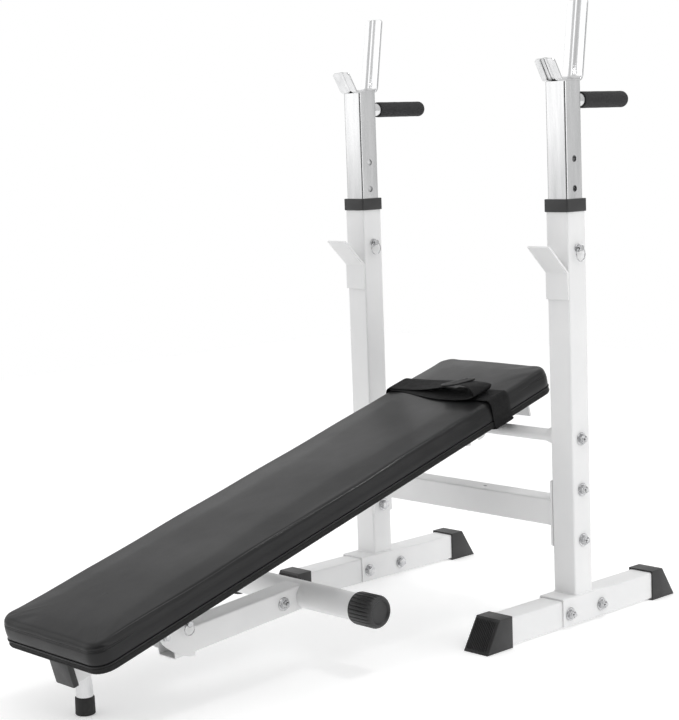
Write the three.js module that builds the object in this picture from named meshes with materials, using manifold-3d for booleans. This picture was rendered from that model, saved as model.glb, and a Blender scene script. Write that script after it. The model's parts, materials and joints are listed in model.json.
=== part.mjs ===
import * as THREE from 'three';
import { mergeVertices } from 'three/addons/utils/BufferGeometryUtils.js';
import Module from 'manifold-3d';

// Weight bench with a barbell rack, millimetres, +Z up, +X to the right, +Y to the rack.
// Built with the rack uprights on x = 0, y = 0, then shifted so the origin is the
// centre of the bounding box on the floor.

const GAP = 0.3;
const SIDES = [['left', -1], ['right', 1]];

// rack
const UPRIGHT_X = 259;
const UPRIGHT_W = 50;
const WALL = 2;
const UPRIGHT_TOP = 770;
const FOOT_HALF = 270;
const FOOT_BASE = 3;
const CAP_W = 56;
const CAP_H = 56.5;
const CAP_LONG = 67.5;
const CAP_SHORT = 32;
const FOOT_BOLT_Y = 45;
const FOOT_BOLT_Z = 27;
const SADDLE_HALF = 63;
const SADDLE_T = 3;
const PLATE_T = 4;
const COLLAR_LOW = 751.5;
const COLLAR_TOP = 774.5;
const COLLAR_W = 55;
const CATCH_LOW = 595;
const CATCH_BEND = 644;
const CATCH_OUT = 50;
const CATCH_RISE = 49;

// masts
const MAST_W = 45;
const MAST_LOW = 530;
const MAST_TOP = 983;
const HOLE_PITCH = 53;
const PIN_Z = 686.5;
const HOLES_BELOW = 2;
const HOLES_ABOVE = 3;
const HOLDER_TOP = 1127;
const HOLDER_LIP = 1023;
const DIP_Z = 949.5;
const DIP_R = 12.5;
const GRIP_R = 15;
const GRIP_START = 47;
const GRIP_END = 176;

// crossbars
const BAR_W = 49;
const BAR_Z = 202.5;
const END_PLATE_LOW = 140;
const END_PLATE_TOP = 262;
const BOLT_Z = [155, 248];
const ROUND_BAR_Z = 341;
const ROUND_BAR_R = 11.5;
const BOSS_R = 14;
const BOSS_LONG = 22;

// bench, in its own frame: s up the bench, h square to the pad
const TILT = THREE.MathUtils.degToRad(15.84);
const HINGE_S = 1005.4;
const HINGE_H = -31.7;
const PAD_LONG = 1122;
const PAD_START = 8;
const PAD_W = 272;
const PAD_TOP = 50;
const BOARD_T = 13;
const CORNER_R = 30;
const SPINE_W = 45;
const SPINE_H = 43;
const SPINE_TOP = -4.5;
const SPINE_START = 23;
const SPINE_END = 975;
const STRAP_S = 968;
const STRAP_W = 50;
const STUB_Y = -908.5;
const STUB_R = 14;
const STUB_KNEE = 29;
const STUB_LEAN = 0.3;

// folding leg, in its own frame: u along the leg, v square to it, pivot at 0, 0
const PIVOT_S = 206;
const PIVOT_H = -59.2;
const LOCK_S = 252;
const LOCK_H = -57.4;
const LEG_TILT = THREE.MathUtils.degToRad(5);
const LEG_START = 17;
const ROLLER_U = 314.8;
const ROLLER_V = -22.7;
const LEG_BOLT_U = 260;
const LEG_W = 45;
const LEG_H = 45;
const ROLLER_R = 24;
const ROLLER_HALF = 201.4;
const ROLLER_CAP_R = 28.5;
const ROLLER_CAP_IN = 154;
const ROLLER_CAP_OUT = 207;

const wasm = await Module();
wasm.setup();

const group = new THREE.Group();
group.name = 'weight_bench';

// ---- materials ----
function material(color, roughness, metalness) {
  return () => new THREE.MeshStandardMaterial({ color, roughness, metalness });
}
const powderCoat = material(0xe2e2e2, 0.4, 0);
const zincSteel = material(0xc2c4c6, 0.32, 0.9);
const boltSteel = material(0xb4b6b8, 0.35, 0.9);
const blackPlastic = material(0x1c1c1d, 0.55, 0);
const blackRubber = material(0x161617, 0.85, 0);
const blackFoam = material(0x1a1a1b, 0.9, 0);
const blackVinyl = material(0x222223, 0.42, 0);
const boardCloth = material(0x121213, 0.9, 0);
const webbing = material(0x0f0f10, 0.8, 0);

// ---- solids ----
function solid(geometry) {
  const plain = geometry.clone();
  plain.deleteAttribute('normal');
  plain.deleteAttribute('uv');
  const welded = mergeVertices(plain, 1e-4);
  return new wasm.Manifold(new wasm.Mesh({
    numProp: 3,
    vertProperties: new Float32Array(welded.attributes.position.array),
    triVerts: new Uint32Array(welded.index.array),
  }));
}

function surface(body) {
  const mesh = body.getMesh();
  const geometry = new THREE.BufferGeometry();
  geometry.setAttribute('position', new THREE.BufferAttribute(mesh.vertProperties, 3));
  geometry.setIndex(new THREE.BufferAttribute(mesh.triVerts, 1));
  const flat = geometry.toNonIndexed();
  flat.computeVertexNormals();
  return flat;
}

function add(name, body, finish) {
  const mesh = new THREE.Mesh(surface(body), finish());
  mesh.name = name;
  group.add(mesh);
}

function cut(body, tools) {
  return tools.reduce((rest, tool) => rest.subtract(tool), body);
}

function join(bodies) {
  return bodies.reduce((all, body) => all.add(body));
}

// ---- shapes ----
function polygon(points) {
  return new THREE.Shape(points.map(([x, y]) => new THREE.Vector2(x, y)));
}

function roundedRect(width, height, radius, steps = 2) {
  const points = [];
  const corners = [[1, 1, 0], [-1, 1, 90], [-1, -1, 180], [1, -1, 270]];
  for (const [sx, sy, start] of corners) {
    for (let i = 0; i <= steps; i += 1) {
      const a = THREE.MathUtils.degToRad(start + (90 * i) / steps);
      points.push([
        sx * (width / 2 - radius) + radius * Math.cos(a),
        sy * (height / 2 - radius) + radius * Math.sin(a),
      ]);
    }
  }
  return polygon(points);
}

// outline of a bent strip: a centre line of [a, b] points, rounded at each bend
function bentStrip(points, thickness, bend, shift = 0) {
  const line = [];
  points.forEach(([a, b], i) => {
    const here = new THREE.Vector2(a, b);
    if (i === 0 || i === points.length - 1) {
      line.push(here);
      return;
    }
    const before = new THREE.Vector2(...points[i - 1]).sub(here).normalize();
    const after = new THREE.Vector2(...points[i + 1]).sub(here).normalize();
    const half = Math.acos(THREE.MathUtils.clamp(before.dot(after), -1, 1)) / 2;
    const reach = bend / Math.tan(half);
    const from = here.clone().addScaledVector(before, reach);
    const to = here.clone().addScaledVector(after, reach);
    for (let k = 0; k <= 5; k += 1) {
      const t = k / 5;
      const p = from.clone().multiplyScalar((1 - t) ** 2);
      p.addScaledVector(here, 2 * t * (1 - t));
      p.addScaledVector(to, t ** 2);
      line.push(p);
    }
  });
  const sides = [[], []];
  line.forEach((p, i) => {
    const prev = line[Math.max(i - 1, 0)];
    const next = line[Math.min(i + 1, line.length - 1)];
    const along = next.clone().sub(prev).normalize();
    const normal = new THREE.Vector2(-along.y, along.x);
    sides[0].push(p.clone().addScaledVector(normal, shift + thickness / 2));
    sides[1].push(p.clone().addScaledVector(normal, shift - thickness / 2));
  });
  return new THREE.Shape([...sides[0], ...sides[1].reverse()]);
}

const BASIS = {
  x: [[0, 1, 0], [0, 0, 1], [1, 0, 0]],
  y: [[0, 0, 1], [1, 0, 0], [0, 1, 0]],
  z: [[1, 0, 0], [0, 1, 0], [0, 0, 1]],
};

// extrudes a shape along x (shape in y, z), y (shape in z, x) or z (shape in x, y)
function extrude(shape, axis, from, to, bevel = 0) {
  const geometry = new THREE.ExtrudeGeometry(shape, {
    depth: to - from - 2 * bevel,
    bevelEnabled: bevel > 0,
    bevelThickness: bevel,
    bevelSize: bevel,
    bevelOffset: -bevel,
    bevelSegments: 2,
    curveSegments: 12,
  });
  geometry.translate(0, 0, from + bevel);
  const basis = new THREE.Matrix4().makeBasis(...BASIS[axis].map((v) => new THREE.Vector3(...v)));
  return solid(geometry.applyMatrix4(basis));
}

function rod(axis, radius, from, to, at, sides = 16) {
  const geometry = new THREE.CylinderGeometry(radius, radius, to - from, sides);
  geometry.rotateX(Math.PI / 2);
  geometry.translate(0, 0, (from + to) / 2);
  const basis = new THREE.Matrix4().makeBasis(...BASIS[axis].map((v) => new THREE.Vector3(...v)));
  geometry.applyMatrix4(basis);
  geometry.translate(...at);
  return solid(geometry);
}

// spins [radius, distance] points about an axis
function turned(axis, points, at, sides = 20) {
  const profile = points.map(([r, d]) => new THREE.Vector2(r, d));
  const geometry = new THREE.LatheGeometry(profile, sides);
  geometry.rotateX(Math.PI / 2);
  const basis = new THREE.Matrix4().makeBasis(...BASIS[axis].map((v) => new THREE.Vector3(...v)));
  geometry.applyMatrix4(basis);
  geometry.translate(...at);
  const body = solid(geometry);
  return body.volume() < 0 ? solid(flip(geometry)) : body;
}

function flip(geometry) {
  const index = geometry.index.array;
  for (let i = 0; i < index.length; i += 3) {
    [index[i], index[i + 1]] = [index[i + 1], index[i]];
  }
  return geometry;
}

function box(x0, x1, y0, y1, z0, z1) {
  const geometry = new THREE.BoxGeometry(x1 - x0, y1 - y0, z1 - z0);
  geometry.translate((x0 + x1) / 2, (y0 + y1) / 2, (z0 + z1) / 2);
  return solid(geometry);
}

function squareTube(axis, width, height, wall, from, to, at) {
  const radius = 3.5;
  const outer = extrude(roundedRect(width, height, radius), axis, from, to);
  const bore = roundedRect(width - 2 * wall, height - 2 * wall, radius - wall);
  return outer.subtract(extrude(bore, axis, from - 1, to + 1)).translate(at);
}

// a bolt along x with a washer and hex head at the outer face, a washer and nut inside
function bolt(side, outerX, innerX, y, z, radius = 5) {
  const hex = radius * 1.75;
  const washer = radius * 2.4;
  const head = [side * outerX, side * (outerX + 2), side * (outerX + 9), side * (outerX + 13)];
  const nut = [side * innerX, side * (innerX - 2), side * (innerX - 9), side * (innerX - 12)];
  const span = (r, a, b, sides) => rod('x', r, Math.min(a, b), Math.max(a, b), [0, y, z], sides);
  return join([
    span(radius, head[3], nut[3], 10),
    span(washer, head[0], head[1], 16),
    span(hex, head[1] - side * 0.5, head[2], 6),
    span(washer, nut[0], nut[1], 16),
    span(hex, nut[1] + side * 0.5, nut[2], 6),
  ]);
}

// a pull pin along +x whose knob is cross-drilled along y for its ring
function pullPin(x, tip, y, z, radius) {
  const body = join([
    rod('x', radius, tip, x + 4, [0, y, z], 12),
    rod('x', radius + 3, x, x + 2.5, [0, y, z]),
    rod('x', radius - 0.5, x + 2, x + 9, [0, y, z], 12),
    turned('x', [[0, x + 3.2], [4.5, x + 3.2], [5.5, x + 4.2], [5.5, x + 11], [4.5, x + 12], [0, x + 12]],
      [0, y, z], 16),
  ]);
  return body.subtract(rod('y', 2.4, -12, 12, [x + 7.6, y, z], 10));
}

function ring(x, y, z, radius) {
  const geometry = new THREE.TorusGeometry(radius, 1.1, 6, 20);
  geometry.rotateY(Math.PI / 2);
  geometry.translate(x + 7.6, y, z + 0.6 - radius);
  return solid(geometry);
}

// ---- rack ----
function footTube(side) {
  const end = FOOT_HALF - CAP_LONG + CAP_SHORT - 4;
  const z = FOOT_BASE + UPRIGHT_W / 2;
  const tube = squareTube('y', UPRIGHT_W, UPRIGHT_W, WALL, -end, end, [side * UPRIGHT_X, 0, z]);
  return cut(tube, [-1, 1].map((s) => rod('x', 5.3, -40, 40, [side * UPRIGHT_X, s * FOOT_BOLT_Y, FOOT_BOLT_Z], 10)));
}

function footCap(side, way) {
  const inner = FOOT_HALF - CAP_LONG;
  const slope = polygon([
    [way * inner, 0], [way * FOOT_HALF, 0], [way * (inner + CAP_SHORT), CAP_H], [way * inner, CAP_H],
  ]);
  const x = side * UPRIGHT_X;
  const block = extrude(slope, 'x', x - CAP_W / 2, x + CAP_W / 2, 1.2);
  const half = UPRIGHT_W / 2 + GAP;
  const end = inner + CAP_SHORT - 4 + GAP;
  const reach = [way * (inner - 5), way * end].sort((a, b) => a - b);
  const low = FOOT_BASE - GAP;
  return block.subtract(box(x - half, x + half, ...reach, low, low + 2 * half));
}

function saddle(side) {
  const inner = UPRIGHT_W / 2 + GAP;
  const outer = inner + SADDLE_T;
  const top = FOOT_BASE + UPRIGHT_W + GAP;
  const section = polygon([
    [5, -outer], [top + SADDLE_T - 2, -outer], [top + SADDLE_T, -outer + 2],
    [top + SADDLE_T, outer - 2], [top + SADDLE_T - 2, outer], [5, outer],
    [5, inner], [top, inner], [top, -inner], [5, -inner],
  ]);
  const x = side * UPRIGHT_X;
  const shell = extrude(section, 'y', -SADDLE_HALF, SADDLE_HALF).translate([x, 0, 0]);
  return cut(shell, [-1, 1].map((s) => rod('x', 5.3, -40, 40, [x, s * FOOT_BOLT_Y, FOOT_BOLT_Z], 10)));
}

function upright(side) {
  const low = FOOT_BASE + UPRIGHT_W + SADDLE_T + 2 * GAP;
  const x = side * UPRIGHT_X;
  const tube = squareTube('z', UPRIGHT_W, UPRIGHT_W, WALL, low, UPRIGHT_TOP, [x, 0, 0]);
  const drill = (z, r) => rod('x', r, -40, 40, [x, 0, z], 12);
  return cut(tube, [drill(PIN_Z, 5), ...[...BOLT_Z, ROUND_BAR_Z].map((z) => drill(z, 5.3))]);
}

function guideCollar(side) {
  const x = side * UPRIGHT_X;
  const block = extrude(roundedRect(COLLAR_W, COLLAR_W, 4), 'z', COLLAR_LOW, COLLAR_TOP, 0.8);
  const skirt = UPRIGHT_W + 2 * GAP;
  const bore = MAST_W + 2 * GAP + 0.2;
  return cut(block, [
    extrude(roundedRect(skirt, skirt, 3.6), 'z', COLLAR_LOW - 1, UPRIGHT_TOP + GAP),
    extrude(roundedRect(bore, bore, 3.2), 'z', COLLAR_LOW - 1, COLLAR_TOP + 1),
  ]).translate([x, 0, 0]);
}

function barCatch(side) {
  const back = -UPRIGHT_W / 2 - GAP - PLATE_T / 2;
  const path = [
    [back, CATCH_LOW], [back, CATCH_BEND], [back - CATCH_OUT, CATCH_BEND + CATCH_RISE],
  ];
  const x = side * UPRIGHT_X;
  return extrude(bentStrip(path, PLATE_T, 5), 'x', x - UPRIGHT_W / 2, x + UPRIGHT_W / 2);
}

function lowerCrossbar() {
  const inner = UPRIGHT_X - UPRIGHT_W / 2 - GAP;
  const tube = squareTube('x', BAR_W, BAR_W, WALL, -inner + 1, inner - 1, [0, 0, BAR_Z]);
  const plates = SIDES.map(([, s]) => {
    const faces = [s * inner, s * (inner - PLATE_T)].sort((a, b) => a - b);
    const outline = roundedRect(UPRIGHT_W, END_PLATE_TOP - END_PLATE_LOW, 3);
    const plate = extrude(outline, 'x', ...faces).translate([0, 0, (END_PLATE_LOW + END_PLATE_TOP) / 2]);
    return cut(plate, BOLT_Z.map((z) => rod('x', 5.3, -20, 20, [s * inner, 0, z], 10)));
  });
  return join([tube, ...plates]).subtract(rod('z', 4, BAR_Z, BAR_Z + 40, [49, 0, 0], 12));
}

function upperCrossbar() {
  const end = UPRIGHT_X - UPRIGHT_W / 2 - GAP;
  const step = end - BOSS_LONG;
  const outer = [
    [0, -end], [BOSS_R - 1.5, -end], [BOSS_R, -end + 1.5], [BOSS_R, -step - 1.5],
    [BOSS_R - 1.5, -step], [ROUND_BAR_R, -step], [ROUND_BAR_R, step], [BOSS_R - 1.5, step],
    [BOSS_R, step + 1.5], [BOSS_R, end - 1.5], [BOSS_R - 1.5, end], [0, end],
  ];
  const bore = [
    [0, -end - 1], [5.3, -end - 1], [5.3, -step + 14], [9, -step + 14],
    [9, step - 14], [5.3, step - 14], [5.3, end + 1], [0, end + 1],
  ];
  const at = [0, 0, ROUND_BAR_Z];
  return turned('x', outer, at).subtract(turned('x', bore, at));
}

function roundBarBolt(side) {
  const face = UPRIGHT_X + UPRIGHT_W / 2 + GAP;
  const span = (r, a, b, sides) => {
    const ends = [side * a, side * b].sort((p, q) => p - q);
    return rod('x', r, ...ends, [0, 0, ROUND_BAR_Z], sides);
  };
  return join([
    span(5, face + 13, face - UPRIGHT_W - 30, 10),
    span(12, face, face + 2, 16),
    span(8.75, face + 1.5, face + 9, 6),
  ]);
}

for (const [name, side] of SIDES) {
  const out = UPRIGHT_X + UPRIGHT_W / 2 + GAP;
  const face = out + SADDLE_T + GAP;
  const bar = UPRIGHT_X - UPRIGHT_W / 2 - GAP - PLATE_T - GAP;
  add(`foot_tube_${name}`, footTube(side), powderCoat);
  add(`foot_cap_${name}_front`, footCap(side, -1), blackPlastic);
  add(`foot_cap_${name}_rear`, footCap(side, 1), blackPlastic);
  add(`saddle_${name}`, saddle(side), powderCoat);
  add(`upright_${name}`, upright(side), powderCoat);
  add(`guide_collar_${name}`, guideCollar(side), blackPlastic);
  add(`bar_catch_${name}`, barCatch(side), powderCoat);
  const inside = 2 * UPRIGHT_X - face;
  add(`foot_bolt_${name}_front`, bolt(side, face, inside, -FOOT_BOLT_Y, FOOT_BOLT_Z), boltSteel);
  add(`foot_bolt_${name}_rear`, bolt(side, face, inside, FOOT_BOLT_Y, FOOT_BOLT_Z), boltSteel);
  add(`crossbar_bolt_${name}_low`, bolt(side, out, bar, 0, BOLT_Z[0]), boltSteel);
  add(`crossbar_bolt_${name}_high`, bolt(side, out, bar, 0, BOLT_Z[1]), boltSteel);
  add(`round_bar_bolt_${name}`, roundBarBolt(side), boltSteel);
}
add('lower_crossbar', lowerCrossbar(), powderCoat);
add('upper_crossbar', upperCrossbar(), powderCoat);

// ---- masts ----
function mast(side) {
  const x = side * UPRIGHT_X;
  const tube = squareTube('z', MAST_W, MAST_W, WALL, MAST_LOW, MAST_TOP, [x, 0, 0]);
  const holes = [];
  for (let i = -HOLES_BELOW; i <= HOLES_ABOVE; i += 1) {
    holes.push(rod('x', 6, -40, 40, [x, 0, PIN_Z + i * HOLE_PITCH], 10));
  }
  return cut(tube, holes);
}

function barHolder(side) {
  const base = MAST_TOP + GAP + PLATE_T / 2;
  const path = [[-49, HOLDER_LIP], [-27, base], [27, base], [47, HOLDER_TOP]];
  const x = side * UPRIGHT_X;
  const strip = extrude(bentStrip(path, PLATE_T, 9), 'x', x - MAST_W / 2, x + MAST_W / 2);
  const rib = extrude(bentStrip(path, PLATE_T + 2, 9, 1), 'x', x - 7, x + 7);
  return strip.add(rib);
}

function dipBar(side) {
  const from = MAST_W / 2 + GAP;
  return rod('y', DIP_R, from, GRIP_END - 6, [side * UPRIGHT_X, 0, DIP_Z], 24);
}

function grip(side) {
  const profile = [[DIP_R + GAP, GRIP_START], [GRIP_R - 1, GRIP_START], [GRIP_R, GRIP_START + 1]];
  for (let i = 0; i <= 4; i += 1) {
    const a = (Math.PI / 2) * (i / 4);
    profile.push([GRIP_R - 8 + 8 * Math.cos(a), GRIP_END - 8 + 8 * Math.sin(a)]);
  }
  profile.push([0, GRIP_END], [0, GRIP_END - 5], [DIP_R + GAP, GRIP_END - 5]);
  profile.push([DIP_R + GAP, GRIP_START]);
  return turned('y', profile, [side * UPRIGHT_X, 0, DIP_Z], 24);
}

for (const [name, side] of SIDES) {
  const pinX = side * UPRIGHT_X + UPRIGHT_W / 2 + GAP;
  add(`mast_${name}`, mast(side), zincSteel);
  add(`bar_holder_${name}`, barHolder(side), zincSteel);
  add(`dip_bar_${name}`, dipBar(side), zincSteel);
  add(`grip_${name}`, grip(side), blackFoam);
  add(`lock_pin_${name}`, pullPin(pinX, pinX - GAP - WALL + 0.2, 0, PIN_Z, 4.5), boltSteel);
  add(`pin_ring_${name}`, ring(pinX, 0, PIN_Z, 12), boltSteel);
}

// ---- bench ----
const BENCH_Y = -(HINGE_S * Math.cos(TILT) - HINGE_H * Math.sin(TILT));
const BENCH_Z = ROUND_BAR_Z - (HINGE_S * Math.sin(TILT) + HINGE_H * Math.cos(TILT));
const DEG = 180 / Math.PI;

function onBench(body) {
  return body.rotate([TILT * DEG, 0, 0]).translate([0, BENCH_Y, BENCH_Z]);
}

function planOutline(width, inset) {
  const outline = roundedRect(width - 2 * inset, PAD_LONG - 2 * inset, CORNER_R - inset, 5);
  return polygon(outline.getPoints().map((p) => [p.x, p.y + PAD_LONG / 2 + PAD_START]));
}

function pad() {
  return onBench(extrude(planOutline(PAD_W, 0), 'z', BOARD_T + GAP, PAD_TOP, 7));
}

function board() {
  return onBench(extrude(planOutline(PAD_W, 1), 'z', 0, BOARD_T, 1.5));
}

function spineTube() {
  const mid = SPINE_TOP - SPINE_H / 2;
  return onBench(squareTube('y', SPINE_H, SPINE_W, WALL, SPINE_START, SPINE_END, [0, 0, mid]));
}

function spineCap() {
  const mid = SPINE_TOP - SPINE_H / 2;
  const shell = extrude(roundedRect(SPINE_H + 5, SPINE_W + 5, 3), 'y', 19, 29, 1);
  const pocket = extrude(roundedRect(SPINE_H + 0.6, SPINE_W + 0.6, 3), 'y', 22, 31);
  return onBench(shell.subtract(pocket).translate([0, 0, mid]));
}

function padPlate() {
  return onBench(extrude(roundedRect(150, 50, 6), 'z', SPINE_TOP + GAP, -GAP).translate([0, 160, 0]));
}

// two cheeks that drop over the round bar, and the angle that carries the pad's high end
function hookBracket() {
  const outline = [
    [932, -43], [932, -3.3], [1077, -3.3], [1077, -23], [1040, -31], [1032, -58], [1022, -64],
    [983, -64], [966, -58],
  ];
  const down = new THREE.Vector2(-Math.sin(TILT), -Math.cos(TILT));
  const across = new THREE.Vector2(down.y, -down.x);
  const slot = [[1, 0], [1, 60], [-1, 60], [-1, 0]].map(([a, b]) => [
    HINGE_S + across.x * a * (ROUND_BAR_R + 0.6) + down.x * b,
    HINGE_H + across.y * a * (ROUND_BAR_R + 0.6) + down.y * b,
  ]);
  const near = SPINE_W / 2 + GAP;
  const cheeks = [[-near - 3, -near], [near, near + 3]].map(([a, b]) => cut(
    extrude(polygon(outline), 'x', a, b),
    [
      rod('x', ROUND_BAR_R + 0.6, a - 1, b + 1, [0, HINGE_S, HINGE_H], 20),
      extrude(polygon(slot), 'x', a - 1, b + 1),
    ],
  ));
  const angle = polygon([[1050, -GAP], [1081, -GAP], [1081, -36], [1077, -36], [1077, -4], [1050, -4]]);
  return onBench(join([...cheeks, extrude(angle, 'x', -105, 105)]));
}

// a flared tube that leans back to the spine above its rubber tip
function stubFoot() {
  const r = STUB_R;
  const wide = STUB_R + 4;
  const profile = [
    [r - WALL, 8.3], [r, 8.3], [r, STUB_KNEE + 14], [wide, 74], [wide, 120], [wide - WALL, 120],
    [wide - WALL, 74], [r - WALL, STUB_KNEE + 14], [r - WALL, 8.3],
  ].map(([radius, z]) => new THREE.Vector2(radius, z));
  const geometry = new THREE.LatheGeometry(profile, 24).rotateX(Math.PI / 2);
  const spots = geometry.attributes.position;
  for (let i = 0; i < spots.count; i += 1) {
    const back = STUB_LEAN * Math.max(0, spots.getZ(i) - STUB_KNEE - 14);
    spots.setY(i, spots.getY(i) + STUB_Y - back);
  }
  const plain = solid(geometry);
  const tube = plain.volume() < 0 ? solid(flip(geometry)) : plain;
  const above = onBench(box(-60, 60, -60, 300, SPINE_TOP - SPINE_H - GAP, 200));
  return tube.subtract(above);
}

function stubTip() {
  const r = STUB_R;
  return turned('z', [
    [0, 0], [r + 1, 0], [r + 2.2, 1.2], [r + 1.6, STUB_KNEE - 1], [r + 1, STUB_KNEE],
    [r + GAP, STUB_KNEE], [r + GAP, 8], [0, 8],
  ], [0, STUB_Y, 0]);
}

function strap() {
  const outer = roundedRect(PAD_W + 6, PAD_TOP + 6, 3.5);
  const inner = roundedRect(PAD_W + 2, PAD_TOP + 2, 1.5);
  const from = STRAP_S - STRAP_W / 2;
  const loop = extrude(turnedShape(outer), 'y', from, from + STRAP_W)
    .subtract(extrude(turnedShape(inner), 'y', from - 1, from + STRAP_W + 1));
  return onBench(loop.translate([0, 0, PAD_TOP / 2]));
}

function turnedShape(shape) {
  return polygon(shape.getPoints().map((p) => [-p.y, p.x]));
}

function buckle() {
  const plate = extrude(roundedRect(34, 58, 5), 'z', PAD_TOP + 3.3, PAD_TOP + 6.3, 0.5);
  const slots = [-8.5, 8.5].map((x) => extrude(roundedRect(9, 49, 2), 'z', 0, 90).translate([x, 0, 0]));
  return onBench(cut(plate, slots).translate([-16, STRAP_S, 0]));
}

// block under the spine that takes the leg's pivot bolt and its lock hole
function legLug() {
  const under = SPINE_TOP - SPINE_H - GAP;
  return onBench(cut(join([
    box(-20, 20, 191, 267, under - 3, under),
    box(-20, 20, PIVOT_S - 9, PIVOT_S + 9, PIVOT_H, under),
    rod('x', 9, -20, 20, [0, PIVOT_S, PIVOT_H]),
    box(-20, 20, LOCK_S - 6.5, LOCK_S + 6.5, LOCK_H, under),
    rod('x', 6.5, -20, 20, [0, LOCK_S, LOCK_H]),
  ]), [
    rod('x', 4.4, -21, 21, [0, PIVOT_S, PIVOT_H], 12),
    rod('x', 4.4, -21, 21, [0, LOCK_S, LOCK_H], 12),
  ]));
}

add('seat_pad', pad(), blackVinyl);
add('pad_board', board(), boardCloth);
add('spine_tube', spineTube(), powderCoat);
add('spine_cap', spineCap(), blackPlastic);
add('pad_plate', padPlate(), powderCoat);
add('hook_bracket', hookBracket(), powderCoat);
add('stub_foot', stubFoot(), zincSteel);
add('stub_tip', stubTip(), blackRubber);
add('strap', strap(), webbing);
add('strap_buckle', buckle(), blackPlastic);
add('leg_lug', legLug(), powderCoat);

// ---- folding leg ----
const PIVOT_Y = BENCH_Y + PIVOT_S * Math.cos(TILT) - PIVOT_H * Math.sin(TILT);
const PIVOT_Z = BENCH_Z + PIVOT_S * Math.sin(TILT) + PIVOT_H * Math.cos(TILT);

function onLeg(body) {
  return body.rotate([LEG_TILT * DEG, 0, 0]).translate([0, PIVOT_Y, PIVOT_Z]);
}

function legTube() {
  const tube = squareTube('y', LEG_H, LEG_W, WALL, LEG_START, ROLLER_U, [0, 0, ROLLER_V]);
  return onLeg(cut(tube, [
    rod('x', ROLLER_R + GAP, -40, 40, [0, ROLLER_U, ROLLER_V], 28),
    rod('x', 5.3, -40, 40, [0, LEG_BOLT_U, ROLLER_V], 10),
  ]));
}

function legCheek(side) {
  const faces = [side * (LEG_W / 2 + GAP), side * (LEG_W / 2 + GAP + 3)].sort((a, b) => a - b);
  const outline = polygon([
    [195.5, -61], [196.5, -54.5], [201, -50.5], [208, -49], [259, -49], [265.5, -53], [251, -118],
    [241, -114.5], [226, -104.5], [213, -91.5], [202.5, -77.5], [197.5, -69],
  ]);
  return onBench(cut(extrude(outline, 'x', ...faces), [
    rod('x', 4.4, -40, 40, [0, PIVOT_S, PIVOT_H], 12),
    rod('x', 4.4, -40, 40, [0, LOCK_S, LOCK_H], 12),
  ]));
}

function legPivotBolt() {
  const end = LEG_W / 2 + 3 + 2 * GAP;
  return onBench(join([
    rod('x', 4, -end - 5, end + 6, [0, PIVOT_S, PIVOT_H], 12),
    rod('x', 7, -end - 5, -end, [0, PIVOT_S, PIVOT_H], 6),
    rod('x', 7, end, end + 4, [0, PIVOT_S, PIVOT_H], 6),
  ]));
}

function legBolt() {
  const face = LEG_W / 2 + GAP;
  return onLeg(bolt(1, face, -face, LEG_BOLT_U, ROLLER_V));
}

function legCap(side) {
  const profile = [
    [ROLLER_R + GAP, ROLLER_CAP_IN], [ROLLER_CAP_R - 2, ROLLER_CAP_IN],
    [ROLLER_CAP_R, ROLLER_CAP_IN + 2], [ROLLER_CAP_R, ROLLER_CAP_OUT - 6],
    [ROLLER_CAP_R - 5, ROLLER_CAP_OUT], [19, ROLLER_CAP_OUT], [18, ROLLER_CAP_OUT - 2.5],
    [0, ROLLER_CAP_OUT - 2.5], [0, ROLLER_HALF + GAP], [ROLLER_R + GAP, ROLLER_HALF + GAP],
    [ROLLER_R + GAP, ROLLER_CAP_IN],
  ].map(([r, d]) => [r, side * d]);
  return onLeg(turned('x', profile, [0, ROLLER_U, ROLLER_V], 28));
}

function legRoller() {
  const at = [0, ROLLER_U, ROLLER_V];
  const outer = rod('x', ROLLER_R, -ROLLER_HALF, ROLLER_HALF, at, 28);
  return onLeg(outer.subtract(rod('x', ROLLER_R - WALL, -210, 210, at, 20)));
}

const lockX = LEG_W / 2 + 3 + 2 * GAP;
const lockY = BENCH_Y + LOCK_S * Math.cos(TILT) - LOCK_H * Math.sin(TILT);
const lockZ = BENCH_Z + LOCK_S * Math.sin(TILT) + LOCK_H * Math.cos(TILT);
add('leg_tube', legTube(), powderCoat);
add('leg_cheek_left', legCheek(-1), powderCoat);
add('leg_cheek_right', legCheek(1), powderCoat);
add('leg_roller', legRoller(), powderCoat);
add('leg_cap_left', legCap(-1), blackPlastic);
add('leg_cap_right', legCap(1), blackPlastic);
add('leg_pivot_bolt', legPivotBolt(), boltSteel);
add('leg_bolt', legBolt(), boltSteel);
add('leg_lock_pin', pullPin(lockX, 20.4, lockY, lockZ, 4), boltSteel);
add('leg_pin_ring', ring(lockX, lockY, lockZ, 10), boltSteel);

// ---- origin ----
const bounds = new THREE.Box3().setFromObject(group);
const middle = bounds.getCenter(new THREE.Vector3());
for (const mesh of group.children) {
  mesh.geometry.translate(-middle.x, -middle.y, -bounds.min.z);
}

export default group;
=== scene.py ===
import json
import math

import bmesh
import bpy
from mathutils import Matrix, Vector


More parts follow.
